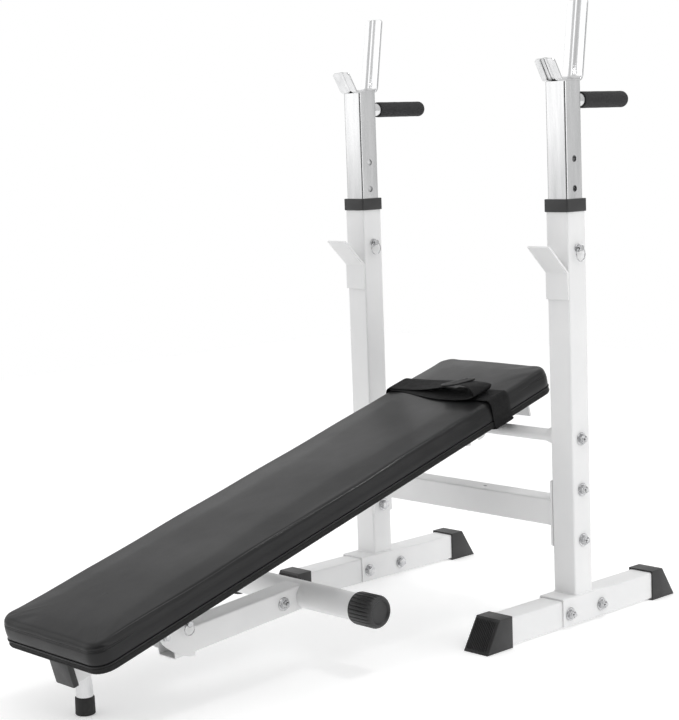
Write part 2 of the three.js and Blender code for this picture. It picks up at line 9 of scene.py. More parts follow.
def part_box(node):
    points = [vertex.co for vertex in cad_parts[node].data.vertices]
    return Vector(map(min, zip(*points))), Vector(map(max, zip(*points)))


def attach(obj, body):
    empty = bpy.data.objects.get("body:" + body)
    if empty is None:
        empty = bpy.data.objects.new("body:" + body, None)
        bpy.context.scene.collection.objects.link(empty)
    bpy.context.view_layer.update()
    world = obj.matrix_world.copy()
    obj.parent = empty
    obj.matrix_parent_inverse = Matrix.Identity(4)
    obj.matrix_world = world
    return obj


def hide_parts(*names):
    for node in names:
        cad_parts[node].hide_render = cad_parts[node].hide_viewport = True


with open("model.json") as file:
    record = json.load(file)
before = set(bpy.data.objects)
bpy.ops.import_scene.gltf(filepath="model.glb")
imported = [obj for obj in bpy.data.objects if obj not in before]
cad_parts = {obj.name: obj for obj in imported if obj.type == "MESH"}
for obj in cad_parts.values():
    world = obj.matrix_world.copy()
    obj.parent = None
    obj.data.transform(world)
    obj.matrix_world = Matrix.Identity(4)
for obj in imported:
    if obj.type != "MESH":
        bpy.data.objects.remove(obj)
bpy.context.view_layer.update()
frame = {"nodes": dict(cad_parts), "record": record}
NODES = frame["nodes"]
BODY_OF = {n: b for b, names in frame["record"]["behaviour"]["bodies"].items() for n in names}
SIDES = (("left", -1), ("right", 1))

# bench frame, in metres: s runs up the bench and h stands square to the pad
TILT = math.radians(15.84)
HINGE_S, HINGE_H = 1.0054, -0.0317
PAD_START, PAD_LONG, PAD_W = 0.008, 1.122, 0.272
PAD_TOP, BOARD_T, CORNER_R = 0.050, 0.013, 0.030
STRAP_W = 0.050
MAST_W = 0.045
FOOT_CAP_LONG, FOOT_CAP_SHORT = 0.0675, 0.032
ROLLER_HALF = 0.2014
ROLLER_CAP_R = 0.0285
BOLT_END = 0.013  # how far a bolt stands out of its wall, nut end
BOLT_HEAD = 0.012  # the same at its head


def middle(node):
    low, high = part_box(node)
    return (low + high) / 2


HINGE = middle("upper_crossbar")
RACK_Y = HINGE.y
BENCH = Matrix.Translation((
    0,
    HINGE.y - (HINGE_S * math.cos(TILT) - HINGE_H * math.sin(TILT)),
    HINGE.z - (HINGE_S * math.sin(TILT) + HINGE_H * math.cos(TILT)),
)) @ Matrix.Rotation(TILT, 4, "X")


def bench(x, s, h):
    return BENCH @ Vector((x, s, h))


# ---- camera ----
def make_camera():
    """A long lens from the right and a little above, square to the photo's verticals."""
    data = bpy.data.cameras.new("camera")
    data.lens = 88.57
    data.sensor_width = 36
    data.shift_y = -0.0417
    cam = bpy.data.objects.new("camera", data)
    bpy.context.scene.collection.objects.link(cam)
    right = Vector((0.68969, 0.72325, -0.03508)).normalized()
    ahead = Vector((-0.72201, 0.68321, -0.10917)).normalized()
    up = right.cross(ahead).normalized()
    turn = Matrix((right, up, -ahead)).transposed().to_4x4()
    cam.matrix_world = Matrix.Translation((2.2835, RACK_Y - 2.4831, 0.9012)) @ turn
    bpy.context.scene.camera = cam


make_camera()


# ---- materials ----
class Shader:
    """A Principled material with helpers for the nodes that feed it."""

    def __init__(self, name, color, roughness, metallic=0.0, specular=0.5):
        self.material = bpy.data.materials.new(name)
        self.material.use_nodes = True
        self.tree = self.material.node_tree
        self.main = self.tree.nodes["Principled BSDF"]
        self.main.inputs["Base Color"].default_value = (*color, 1)
        self.main.inputs["Roughness"].default_value = roughness
        self.main.inputs["Metallic"].default_value = metallic
        self.main.inputs["Specular IOR Level"].default_value = specular
        self.normal = None
        self.place = self.node("ShaderNodeTexCoord").outputs["Object"]

    def node(self, kind, **settings):
        made = self.tree.nodes.new(kind)
        for key, value in settings.items():
            setattr(made, key, value)
        return made

    def link(self, a, b):
        self.tree.links.new(a, b)

    def stretch(self, scale, turn=(0, 0, 0)):
        made = self.node("ShaderNodeMapping")
        made.inputs["Scale"].default_value = scale
        made.inputs["Rotation"].default_value = turn
        self.link(self.place, made.inputs["Vector"])
        return made.outputs["Vector"]

    def noise(self, scale, detail=3, place=None):
        made = self.node("ShaderNodeTexNoise")
        made.inputs["Scale"].default_value = scale
        made.inputs["Detail"].default_value = detail
        self.link(place or self.place, made.inputs["Vector"])
        return made.outputs["Fac"]

    def grain(self, scale, place=None):
        made = self.node("ShaderNodeTexVoronoi", feature="DISTANCE_TO_EDGE")
        made.inputs["Scale"].default_value = scale
        self.link(place or self.place, made.inputs["Vector"])
        return made.outputs["Distance"]

    def wave(self, scale, direction, place=None):
        made = self.node("ShaderNodeTexWave", bands_direction=direction)
        made.inputs["Scale"].default_value = scale
        self.link(place or self.place, made.inputs["Vector"])
        return made.outputs["Fac"]

    def color(self, source, dark, light, low=0.3, high=0.7):
        made = self.node("ShaderNodeValToRGB")
        for stop, at, shade in zip(made.color_ramp.elements, (low, high), (dark, light)):
            stop.position = at
            stop.color = (*shade, 1)
        self.link(source, made.inputs["Fac"])
        self.link(made.outputs["Color"], self.main.inputs["Base Color"])

    def rough(self, source, low, high):
        made = self.node("ShaderNodeMapRange")
        made.inputs["To Min"].default_value = low
        made.inputs["To Max"].default_value = high
        self.link(source, made.inputs["Value"])
        self.link(made.outputs["Result"], self.main.inputs["Roughness"])

    def bump(self, source, strength, distance):
        made = self.node("ShaderNodeBump")
        made.inputs["Strength"].default_value = strength
        made.inputs["Distance"].default_value = distance
        self.link(source, made.inputs["Height"])
        if self.normal:
            self.link(self.normal, made.inputs["Normal"])
        self.normal = made.outputs["Normal"]
        self.link(self.normal, self.main.inputs["Normal"])


def powder_coat():
    m = Shader("powder_coat", (0.8, 0.8, 0.8), 0.4)
    m.color(m.noise(9, 4), (0.80, 0.802, 0.805), (0.85, 0.85, 0.85))
    m.rough(m.noise(35), 0.34, 0.46)
    m.bump(m.noise(900, 2), 0.12, 0.0004)
    return m.material


def zinc():
    m = Shader("zinc_steel", (0.8, 0.8, 0.81), 0.3, 1.0)
    m.color(m.noise(60, 4, m.stretch((1, 1, 0.12))), (0.66, 0.665, 0.67), (0.79, 0.79, 0.795))
    m.rough(m.noise(160, 3, m.stretch((1, 1, 0.1))), 0.15, 0.28)
    m.bump(m.noise(500, 2, m.stretch((1, 1, 0.06))), 0.1, 0.0003)
    return m.material


def bolt_steel():
    m = Shader("bolt_steel", (0.7, 0.7, 0.71), 0.3, 1.0)
    m.color(m.noise(140, 4), (0.44, 0.445, 0.455), (0.66, 0.66, 0.665))
    m.rough(m.noise(220), 0.16, 0.34)
    m.bump(m.noise(700, 2), 0.15, 0.0003)
    return m.material


def plastic():
    m = Shader("black_plastic", (0.03, 0.03, 0.03), 0.5)
    m.color(m.noise(14, 4), (0.017, 0.017, 0.0175), (0.027, 0.027, 0.0275))
    m.rough(m.noise(60), 0.36, 0.52)
    m.bump(m.grain(1500), 0.2, 0.0004)
    return m.material


def rubber():
    m = Shader("black_rubber", (0.02, 0.02, 0.02), 0.8)
    m.color(m.noise(30, 4), (0.014, 0.014, 0.014), (0.028, 0.028, 0.028))
    m.rough(m.noise(50), 0.7, 0.9)
    m.bump(m.noise(800, 3), 0.25, 0.0005)
    return m.material


def foam():
    m = Shader("black_foam", (0.02, 0.02, 0.02), 0.85)
    m.color(m.noise(420, 4), (0.010, 0.010, 0.011), (0.034, 0.034, 0.035))
    m.rough(m.noise(200), 0.75, 0.95)
    m.bump(m.noise(1100, 3), 0.5, 0.0008)
    return m.material


def vinyl():
    m = Shader("black_vinyl", (0.02, 0.02, 0.02), 0.42, specular=0.12)
    m.color(m.noise(7, 4), (0.011, 0.011, 0.0115), (0.018, 0.018, 0.0185))
    m.rough(m.noise(22, 4), 0.32, 0.46)
    m.bump(m.noise(9, 3, m.stretch((1, 0.5, 1))), 0.22, 0.004)
    m.bump(m.grain(620), 0.25, 0.0004)
    m.main.inputs["Coat Weight"].default_value = 0.24
    m.main.inputs["Coat Roughness"].default_value = 0.19
    return m.material


def trim_cloth():
    m = Shader("board_cloth", (0.012, 0.012, 0.012), 0.8, specular=0.3)
    m.color(m.noise(300, 4), (0.008, 0.008, 0.008), (0.020, 0.020, 0.020))
    m.rough(m.noise(90), 0.65, 0.9)
    turned = m.stretch((1, 1, 1), (-TILT, 0, 0))
    m.bump(m.wave(450, "X", turned), 0.3, 0.0004)
    m.bump(m.wave(450, "Y", turned), 0.3, 0.0004)
    return m.material


def webbing():
    m = Shader("webbing", (0.008, 0.008, 0.008), 0.75, specular=0.22)
    turned = m.stretch((1, 1, 1), (-TILT, 0, 0))
    m.color(m.wave(260, "Y", turned), (0.004, 0.004, 0.0042), (0.012, 0.012, 0.0125), 0.1, 0.9)
    m.rough(m.noise(120), 0.6, 0.85)
    m.bump(m.wave(260, "Y", turned), 0.5, 0.0006)
    m.bump(m.wave(420, "X", turned), 0.35, 0.0005)
    return m.material


LOOKS = {
    "powder_coat": powder_coat(),
    "zinc_steel": zinc(),
    "bolt_steel": bolt_steel(),
    "black_plastic": plastic(),
    "black_rubber": rubber(),
    "black_foam": foam(),
    "black_vinyl": vinyl(),
    "board_cloth": trim_cloth(),
    "webbing": webbing(),
}
SLOT_OF = {p["node"]: p["material_slot"] for p in frame["record"]["subparts"]}


# ---- pieces ----
def finish(name, bm, nodes, slot=None, body=None, sharp=50):
    """Turns a bmesh into a piece that rides with its nodes' body and stands for them."""
    bmesh.ops.recalc_face_normals(bm, faces=bm.faces)
    mesh = bpy.data.meshes.new(name)
    bm.to_mesh(mesh)
    bm.free()
    piece = bpy.data.objects.new(name, mesh)
    bpy.context.scene.collection.objects.link(piece)
    slot = slot or SLOT_OF[nodes[0]]
    mesh.materials.append(LOOKS[slot])
    mesh.shade_smooth()
    mesh.set_sharp_from_angle(angle=math.radians(sharp))
    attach(piece, body or BODY_OF[nodes[0]])
    if nodes:
        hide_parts(*nodes)
    return piece


def modify(piece, kind, **settings):
    made = piece.modifiers.new(kind.lower(), kind)
    for key, value in settings.items():
        setattr(made, key, value)
    return made


def copy_of(node):
    """The node's own shape, with its flat faces joined up again."""
    bm = bmesh.new()
    bm.from_mesh(NODES[node].data)
    bmesh.ops.remove_doubles(bm, verts=bm.verts, dist=2e-5)
    bmesh.ops.dissolve_limit(bm, angle_limit=math.radians(1), verts=bm.verts, edges=bm.edges)
    return bm


def soften(node, bevel=0.0):
    """A copy of a CAD node with smooth corners and, if asked, eased edges."""
    piece = finish(f"{node}_finished", copy_of(node), [node])
    if bevel:
        modify(piece, "BEVEL", width=bevel, segments=2, limit_method="ANGLE",
               angle_limit=math.radians(40), harden_normals=True)
    else:
        modify(piece, "WEIGHTED_NORMAL", keep_sharp=True)


def add_turned(bm, profile, at, axis, around=48, radius_at=None):
    """Spins [radius, distance] points about an axis through a point."""
    axis = Vector(axis).normalized()
    first = axis.orthogonal().normalized()
    second = axis.cross(first)
    rings = []
    for r, d in profile:
        if r < 1e-6:
            rings.append([bm.verts.new(at + axis * d)])
            continue
        ring = []
        for i in range(around):
            a = 2 * math.pi * i / around
            k = r * (radius_at(a, d) if radius_at else 1)
            out = first * math.cos(a) + second * math.sin(a)
            ring.append(bm.verts.new(at + axis * d + out * k))
        rings.append(ring)
    for one, two in zip(rings, rings[1:]):
        for i in range(around):
            j = (i + 1) % around
            corners = [one[i % len(one)], one[j % len(one)], two[j % len(two)], two[i % len(two)]]
            bm.faces.new(list(dict.fromkeys(corners)))


NOT_ALONG = Vector((0.13, 0.31, 0.94))  # no path here runs this way


def add_tube(bm, path, radius, closed=False, around=8):
    """A round bead along a path; radius may be a function of the point's number."""
    count = len(path)
    rings = []
    for i, p in enumerate(path):
        before = path[(i - 1) % count] if closed or i else p
        after = path[(i + 1) % count] if closed or i < count - 1 else p
        along = (after - before).normalized()
        side = along.cross(NOT_ALONG).normalized()
        up = side.cross(along)
        r = radius(i) if callable(radius) else radius
        rings.append([
            bm.verts.new(p + (side * math.cos(a) + up * math.sin(a)) * r)
            for a in (2 * math.pi * k / around for k in range(around))
        ])
    pairs = list(zip(rings, rings[1:] + rings[:1]))
    for one, two in pairs if closed else pairs[:-1]:
        for k in range(around):
            j = (k + 1) % around
            bm.faces.new((one[k], one[j], two[j], two[k]))
    if not closed:
        bm.faces.new(rings[0])
        bm.faces.new(rings[-1])


def rounded_rect(width, long, radius, steps=8):
    """Corner by corner, from the far right one round to the near right one."""
    points = []
    for sx, sy, start in ((1, 1, 0), (-1, 1, 90), (-1, -1, 180), (1, -1, 270)):
        for i in range(steps + 1):
            a = math.radians(start + 90 * i / steps)
            points.append((
                sx * (width / 2 - radius) + radius * math.cos(a),
                sy * (long / 2 - radius) + radius * math.sin(a),
            ))
    return points


def resample(points, step, closed=True):
    """Even steps along a polyline of vectors."""
    line = points + points[:1] if closed else points
    lengths = [(b - a).length for a, b in zip(line, line[1:])]
    total = sum(lengths)
    count = max(3, round(total / step))
    made = []
    for i in range(count if closed else count + 1):
        d = total * i / count
        for (a, b), length in zip(zip(line, line[1:]), lengths):
            if d <= length + 1e-9:
                made.append(a.lerp(b, min(d / max(length, 1e-9), 1)))
                break
            d -= length
    return made


# ---- steel ----
def hexagon(bm, at, way, flats, low, high):
    """A chamfered hex along x, from low to high off its wall."""
    corner = flats / math.sqrt(3)
    rings = []
    for d, k in ((low, 1), (high - 0.001, 1), (high, 0.9)):
        ring = [
            bm.verts.new(at + Vector((way * d, corner * k * math.sin(a), corner * k * math.cos(a))))
            for a in (math.pi / 3 * i for i in range(6))
        ]
        rings.append(ring)
    for one, two in zip(rings, rings[1:]):
        for i in range(6):
            bm.faces.new((one[i], one[(i + 1) % 6], two[(i + 1) % 6], two[i]))
    bm.faces.new(rings[0])
    bm.faces.new(rings[-1])


def washer(bm, at, way, radius, thick=0.002):
    add_turned(bm, [(0, 0), (radius - 0.0003, 0), (radius, 0.0004), (radius, thick - 0.0005),
                    (radius - 0.0006, thick), (0, thick)], at, (way, 0, 0), 36)


def thread(bm, at, way, radius, low, high):
    """A bolt end's grooves, as turned rings."""
    pitch = 0.00125
    turns = max(2, int((high - low - 0.001) / pitch))
    profile = [(0, low)]
    for i in range(turns):
        profile += [(radius, low + i * pitch), (radius - 0.0006, low + (i + 0.5) * pitch)]
    profile += [(radius - 0.0001, high - 0.001), (radius - 0.001, high), (0, high)]
    add_turned(bm, profile, at, (way, 0, 0), 24)


def bolt(node, inner=True, radius=0.005):
    """Washer, lock nut and thread end outside; washer and hex head inside."""
    low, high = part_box(node)
    centre = (low + high) / 2
    way = 1 if centre.x > 0 or node.startswith("leg") else -1
    outer = high.x if way > 0 else low.x
    bm = bmesh.new()
    face = Vector((outer - way * BOLT_END, centre.y, centre.z))
    washer(bm, face, way, radius * 2.4)
    hexagon(bm, face, way, radius * 3.0, 0.002, 0.0078)
    add_turned(bm, [(radius * 1.32, 0.0075), (radius * 1.28, 0.0094), (radius * 1.02, 0.0098)],
               face, (way, 0, 0), 32)
    thread(bm, face, way, radius * 0.94, 0.002, BOLT_END)
    if inner:
        inside = low.x if way > 0 else high.x
        back = Vector((inside + way * BOLT_HEAD, centre.y, centre.z))
        washer(bm, back, -way, radius * 2.4)
        hexagon(bm, back, -way, radius * 3.1, 0.002, 0.0088)
        add_turned(bm, [(radius * 1.1, 0.0086), (0, 0.0086)], back, (-way, 0, 0), 24)
        shank, reach = radius * 0.96, abs(back.x - face.x)
        add_turned(bm, [(0, 0), (shank, 0), (shank, reach), (0, reach)], face, (-way, 0, 0), 20)
    finish(f"{node}_finished", bm, [node], sharp=35)


def pull_ring(node):
    low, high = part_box(node)
    centre = (low + high) / 2
    thin = (high.x - low.x) / 2
    radius = (high.z - low.z) / 2 - thin
    bm = bmesh.new()
    path = [centre + Vector((0, math.cos(a), math.sin(a))) * radius
            for a in (2 * math.pi * i / 56 for i in range(56))]
    add_tube(bm, path, thin, closed=True, around=12)
    finish(f"{node}_finished", bm, [node])


def turned_node(node, axis, profile, around=64, at=None, sharp=40):
    bm = bmesh.new()
    add_turned(bm, profile, at or middle(node), axis, around)
    finish(f"{node}_finished", bm, [node], sharp=sharp)


def bead_size(base):
    """The uneven thickness of a weld bead, point by point."""
    return lambda i: base * (1 + 0.16 * math.sin(i * 1.9) + 0.1 * math.sin(i * 0.7))


def weld(name, path, body, slot="powder_coat", size=0.0022):
    """A rippled weld bead round a closed path."""
    bm = bmesh.new()
    add_tube(bm, resample(path, 0.0024), bead_size(size), closed=True, around=8)
    finish(name, bm, [], slot, body, sharp=80)


def circle(centre, axis, radius, steps=40):
    axis = Vector(axis).normalized()
    first = axis.orthogonal().normalized()
    second = axis.cross(first)
    return [centre + (first * math.cos(a) + second * math.sin(a)) * radius
            for a in (2 * math.pi * i / steps for i in range(steps))]


def smooth_line(points, radius, steps=10):
    """A polyline with rounded bends."""
    line = [Vector(points[0])]
    for before, here, after in zip(points, points[1:], points[2:]):
        here = Vector(here)
        one = (Vector(before) - here).normalized()
        two = (Vector(after) - here).normalized()
        half = one.angle(two) / 2
        reach = radius / math.tan(half)
        start, end = here + one * reach, here + two * reach
        for k in range(steps + 1):
            t = k / steps
            line.append(start * (1 - t) ** 2 + here * 2 * t * (1 - t) + end * t ** 2)
    line.append(Vector(points[-1]))
    return line


def bar_holder(side):
    """One bent strip with a pressed centre rib and rounded corners at both ends."""
    node = f"bar_holder_{side}"
    low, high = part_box(node)
    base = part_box(f"mast_{side}")[1].z + 0.0023
    bends = [(-0.049, 1.023), (-0.027, base), (0.027, base), (0.047, high.z - 0.0005)]
    step, end_r = 0.003, 0.005
    line = smooth_line(bends, 0.011)
    flat = resample([Vector((0, p.x, p.y)) for p in line], step, closed=False)
    columns = 26
    centre_x = (low.x + high.x) / 2
    total = len(flat) - 1
    bm = bmesh.new()
    faces = []
    for layer in (1, -1):
        rows = []
        for i, p in enumerate(flat):
            along = (flat[min(i + 1, total)] - flat[max(i - 1, 0)]).normalized()
            out = Vector((0, -along.z, along.y))
            end = min(i, total - i) * step
            narrow = end_r - math.sqrt(max(0, end_r ** 2 - max(0, end_r - end) ** 2))
            row = []
            for c in range(columns + 1):
                across = (c / columns - 0.5) * (MAST_W - 2 * narrow)
                rib = 0.0034 * math.exp(-((across / 0.0065) ** 2)) - 0.0012
                shift = rib + layer * 0.0018
                at = Vector((centre_x + across, RACK_Y, 0))
                row.append(bm.verts.new(at + p + out * shift))
            rows.append(row)
        for one, two in zip(rows, rows[1:]):
            for c in range(columns):
                bm.faces.new((one[c], one[c + 1], two[c + 1], two[c]))
        faces.append(rows)
    top, under = faces
    for i in range(total):
        bm.faces.new((top[i][0], top[i + 1][0], under[i + 1][0], under[i][0]))
        bm.faces.new((top[i][-1], top[i + 1][-1], under[i + 1][-1], under[i][-1]))
    for c in range(columns):
        bm.faces.new((top[0][c], top[0][c + 1], under[0][c + 1], under[0][c]))
        bm.faces.new((top[-1][c], top[-1][c + 1], under[-1][c + 1], under[-1][c]))
    piece = finish(f"{node}_finished", bm, [node], sharp=60)
    modify(piece, "BEVEL", width=0.0006, segments=2, limit_method="ANGLE",
           angle_limit=math.radians(60))


def foot_cap(node):
    """The moulded end cap, with fine ribs down its sloping face."""
    low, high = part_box(node)
    way = -1 if node.endswith("front") else 1
    bm = copy_of(node)
    centre_x = (low.x + high.x) / 2
    half = (high.x - low.x) / 2
    inner = low.y if way > 0 else high.y
    top = Vector((0, inner + way * FOOT_CAP_SHORT, high.z))
    foot = Vector((0, inner + way * FOOT_CAP_LONG, 0))
    slope = (foot - top).normalized()
    out = Vector((0, way * -slope.z, abs(slope.y))).normalized()
    start, end = top + slope * 0.004, foot - slope * 0.004
    taper = slope * 0.002
    ribs, sunk, wide, narrow = 13, 0.0012, 0.0012, 0.0007
    low_lift, lift = 0.0004, 0.0018
    for i in range(ribs):
        x = centre_x + (i / (ribs - 1) - 0.5) * 2 * (half - 0.0052)
        ends = []
        for p, rise in ((start, low_lift), (start + taper, lift),
                        (end - taper, lift), (end, low_lift)):
            base = Vector((x, 0, 0)) + p - out * sunk
            ends.append([
                bm.verts.new(base + Vector((-wide, 0, 0))),
                bm.verts.new(base + Vector((-narrow, 0, 0)) + out * (sunk + rise)),
                bm.verts.new(base + Vector((narrow, 0, 0)) + out * (sunk + rise)),
                bm.verts.new(base + Vector((wide, 0, 0))),
            ])
        for one, two in zip(ends, ends[1:]):
            for k in range(4):
                bm.faces.new((one[k], one[(k + 1) % 4], two[(k + 1) % 4], two[k]))
        bm.faces.new(ends[0])
        bm.faces.new(ends[-1])
    finish(f"{node}_finished", bm, [node], sharp=35)


def build_rack():
    for name, _ in SIDES:
        for node in (f"foot_tube_{name}", f"upright_{name}", f"mast_{name}"):
            soften(node)
        soften(f"saddle_{name}", 0.0007)
        soften(f"bar_catch_{name}", 0.0007)
        soften(f"guide_collar_{name}", 0.0012)
        soften(f"lock_pin_{name}")
        pull_ring(f"pin_ring_{name}")
        bar_holder(name)
        for end in ("front", "rear"):
            foot_cap(f"foot_cap_{name}_{end}")
            bolt(f"foot_bolt_{name}_{end}")
        for level in ("low", "high"):
            bolt(f"crossbar_bolt_{name}_{level}")
        bolt(f"round_bar_bolt_{name}", inner=False)
        dip_handle(name)
        base = middle(f"upright_{name}")
        base.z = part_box(f"upright_{name}")[0].z
        square = rounded_rect(0.050, 0.050, 0.0035, 4)
        path = [base + Vector((x, y, -0.0003)) for x, y in square]
        weld(f"upright_weld_{name}", path, "rack", size=0.0018)
        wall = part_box(f"mast_{name}")[1].y
        dip = middle(f"dip_bar_{name}")
        weld(f"dip_bar_weld_{name}", circle(Vector((dip.x, wall, dip.z)), (0, 1, 0), 0.0128),
             f"mast_{name}_set", "zinc_steel", 0.0018)
    soften("lower_crossbar")
    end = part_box("upper_crossbar")[1].x
    profile = [(0, -end), (0.0128, -end), (0.014, -end + 0.0012), (0.014, -end + 0.0205),
               (0.0133, -end + 0.0218), (0.0115, -end + 0.0225)]
    profile += [(r, -d) for r, d in reversed(profile)]
    turned_node("upper_crossbar", (1, 0, 0), profile)
    for name, side in SIDES:
        face = Vector((side * (end - 0.004), RACK_Y, 0.2025))
        path = [face + Vector((0, y, z)) for y, z in rounded_rect(0.049, 0.049, 0.0035, 4)]
        weld(f"crossbar_weld_{name}", path, "rack", size=0.0018)


def dip_handle(name):
    """The round bar and its grip, slightly uneven along its length and domed at the end."""
    low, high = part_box(f"dip_bar_{name}")
    long = (high.y - low.y) / 2
    profile = [(0, -long), (0.0125, -long), (0.0125, long), (0, long)]
    turned_node(f"dip_bar_{name}", (0, 1, 0), profile)
    low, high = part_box(f"grip_{name}")
    long = (high.y - low.y) / 2
    r = 0.015
    dome = 0.0095
    profile = [(0.0128, -long + 0.0002), (r - 0.0012, -long), (r - 0.0003, -long + 0.0006),
               (r, -long + 0.0018)]
    profile += [(r * (1 + 0.006 * math.sin(i * 1.7)),
                 -long + 0.0018 + (2 * long - 0.0118) * i / 12) for i in range(1, 13)]
    profile += [(r - dome + dome * math.cos(a), long - dome + dome * math.sin(a))
                for a in (math.pi / 2 * i / 8 for i in range(1, 8))]
    profile += [(0.003, long), (0, long)]
    turned_node(f"grip_{name}", (0, 1, 0), profile, sharp=60)


# ---- bench and leg ----
def roller_cap(name, side):
    """Ribbed plastic end cap with a rim and a sunk face, turned about the roller's middle."""
    node = f"leg_cap_{name}"
    at = middle(node)
    at.x = 0
    r = ROLLER_CAP_R
    profile = [(0.0243, 0.154), (r - 0.0024, 0.154), (r - 0.0008, 0.1552), (r - 0.0008, 0.1580),
               (r, 0.1588), (r, 0.178), (r, 0.199), (r - 0.0010, 0.2020), (r - 0.0030, 0.2050),
               (r - 0.0052, 0.2066), (0.0212, 0.2069), (0.0200, 0.2060), (0.0192, 0.2036),
               (0.0184, 0.2030), (0.0120, 0.2028), (0, 0.2028)]

    def ribs(a, d):
        if not 0.1585 < d < 0.203:
            return 1
        return 1 - 0.05 * max(0, math.cos(a * 26)) ** 2

    bm = bmesh.new()
    add_turned(bm, profile, at, (side, 0, 0), 240, ribs)
    finish(f"{node}_finished", bm, [node], sharp=48)


def build_leg():
    soften("leg_tube")
    for name, side in SIDES:
        soften(f"leg_cheek_{name}", 0.0006)
        roller_cap(name, side)
    end, eased = ROLLER_HALF, ROLLER_HALF - 0.0006
    profile = [(0, -end), (0.0234, -end), (0.024, -eased), (0.024, eased), (0.0234, end), (0, end)]
    turned_node("leg_roller", (1, 0, 0), profile, 80)
    bolt("leg_bolt")
    soften("leg_pivot_bolt")
    soften("leg_lock_pin")
    pull_ring("leg_pin_ring")


def build_bench_steel():
    for node in ("spine_tube", "leg_lug"):
        soften(node)
    soften("spine_cap", 0.0012)
    soften("pad_plate", 0.0005)
    soften("hook_bracket", 0.0005)
    soften("stub_foot")
    tip = middle("stub_tip")
    tip.z = 0
    profile = [(0, 0), (0.0146, 0), (0.0158, 0.0008), (0.0162, 0.002), (0.0160, 0.006),
               (0.0157, 0.0268), (0.0153, 0.0282), (0.0148, 0.0289), (0.0143, 0.029),
               (0.0143, 0.024)]
    turned_node("stub_tip", (0, 0, 1), profile, at=tip)


# ---- pad ----
def outline(inset, h, long_steps=150, short_steps=34, turn=8):
    """The pad's rounded outline as points with their outward directions, always the same count."""
    r = max(CORNER_R - inset, 0.003)
    hx, hy = PAD_W / 2 - inset - r, PAD_LONG / 2 - inset - r
    corners = ((hx, hy, 0), (-hx, hy, 90), (-hx, -hy, 180), (hx, -hy, 270))
    flat = []
    for n, (cx, cy, start) in enumerate(corners):
        for i in range(turn + 1):
            a = math.radians(start + 90 * i / turn)
            flat.append((cx + r * math.cos(a), cy + r * math.sin(a), math.cos(a), math.sin(a)))
        x, y, nx, ny = flat[-1]
        next_x, next_y, _ = corners[(n + 1) % 4]
        end_x, end_y = next_x + r * nx, next_y + r * ny
        steps = long_steps if n % 2 else short_steps
        flat += [(x + (end_x - x) * i / steps, y + (end_y - y) * i / steps, nx, ny)
                 for i in range(1, steps)]
    return [(x, y + PAD_LONG / 2 + PAD_START, h, nx, ny) for x, y, nx, ny in flat]


def step_up(low, high, value):
    """0 below low, 1 above high, smooth between."""
    k = min(1, max(0, (value - low) / (high - low)))
    return k * k * (3 - 2 * k)


def bump_at(value, centre, width):
    """1 at the centre, falling off within about a width."""
    return math.exp(-(((value - centre) / width) ** 2))


SEAM = -1  # marks a stitched row, whose inset comes from seam_depth


def pad_levels():
    """Inset and height of each ring, from under the band to the middle of the top."""
    levels = [(0.0045, BOARD_T + 0.0003), (0.0016, BOARD_T + 0.0006),
              (0.0006, BOARD_T + 0.0022), (-0.0002, BOARD_T + 0.0060), (-0.0006, 0.0255),
              (-0.0005, 0.0310), (0.0000, 0.0350)]
    levels += [(0.0001, 0.0364), (SEAM, 0.0371), (0.0003, 0.0378), (0.0004, 0.0388),
               (SEAM, 0.0395), (0.0009, 0.0403)]
    levels += [(0.0108 - 0.0096 * math.cos(a), 0.0405 + 0.0091 * math.sin(a))
               for a in (math.radians(v) for v in (8, 18, 28, 38, 48, 58, 68, 78, 88))]
    k = 0.0118
    while k < PAD_W / 2 - 0.004:
        levels.append((k, 0.0497 + 0.0010 * step_up(0, 0.09, k)))
        k += 0.0035 if k < 0.03 else 0.0075
    return levels


def seam_depth(y):
    """The two stitched rows pull in at the ends and fade along the sides."""
    from_end = min(y - PAD_START, PAD_START + PAD_LONG - y)
    return 0.0006 + 0.0018 * (1 - step_up(0.03, 0.11, from_end))


def crease(x, y, inset):
    """Lift of the fold that runs along the right top edge at the low end."""
    lift = 0.0
    if x > 0 and 0.0 < inset < 0.014:
        run = step_up(0.036, 0.076, y) * (1 - step_up(0.30, 0.62, y))
        wander = 0.0052 + 0.0012 * math.sin(y * 19)
        lift += 0.0013 * run * bump_at(inset, wander, 0.0012)
        lift -= 0.0008 * run * bump_at(inset, wander + 0.0026, 0.0015)
    return lift


def pad_mesh():
    """Rings round the pad, with slack waves on top and puckers down the band."""
    bm = bmesh.new()
    rings = []
    for inset, height in pad_levels():
        ring = []
        for x, y, h, nx, ny in outline(0 if inset == SEAM else inset, height):
            if inset == SEAM:
                x, y = x - nx * seam_depth(y), y - ny * seam_depth(y)
            waves = 0.0005 * math.sin(y * 31 + x * 9) * math.sin(x * 23 + 1)
            waves += 0.0004 * math.sin(y * 13 - x * 17)
            side = step_up(BOARD_T, 0.02, h) * (1 - step_up(0.042, 0.049, h))
            pucker = 0.00035 * math.sin(y * 90 + x * 70) * side
            top = step_up(0.046, 0.0495, h)
            height_here = h + waves * top + crease(x, y, inset)
            ring.append(bm.verts.new(bench(x + nx * pucker, y + ny * pucker, height_here)))
        rings.append(ring)
    for one, two in zip(rings, rings[1:]):
        for i in range(len(one)):
            j = (i + 1) % len(one)
            bm.faces.new((one[i], one[j], two[j], two[i]))
    bm.faces.new(rings[0])
    bm.faces.new(rings[-1])
    bmesh.ops.triangulate(bm, faces=[f for f in bm.faces if len(f.verts) > 4])
    bmesh.ops.recalc_face_normals(bm, faces=bm.faces)
    mesh = bpy.data.meshes.new("pad_cushion")
    bm.to_mesh(mesh)
    bm.free()
    return mesh


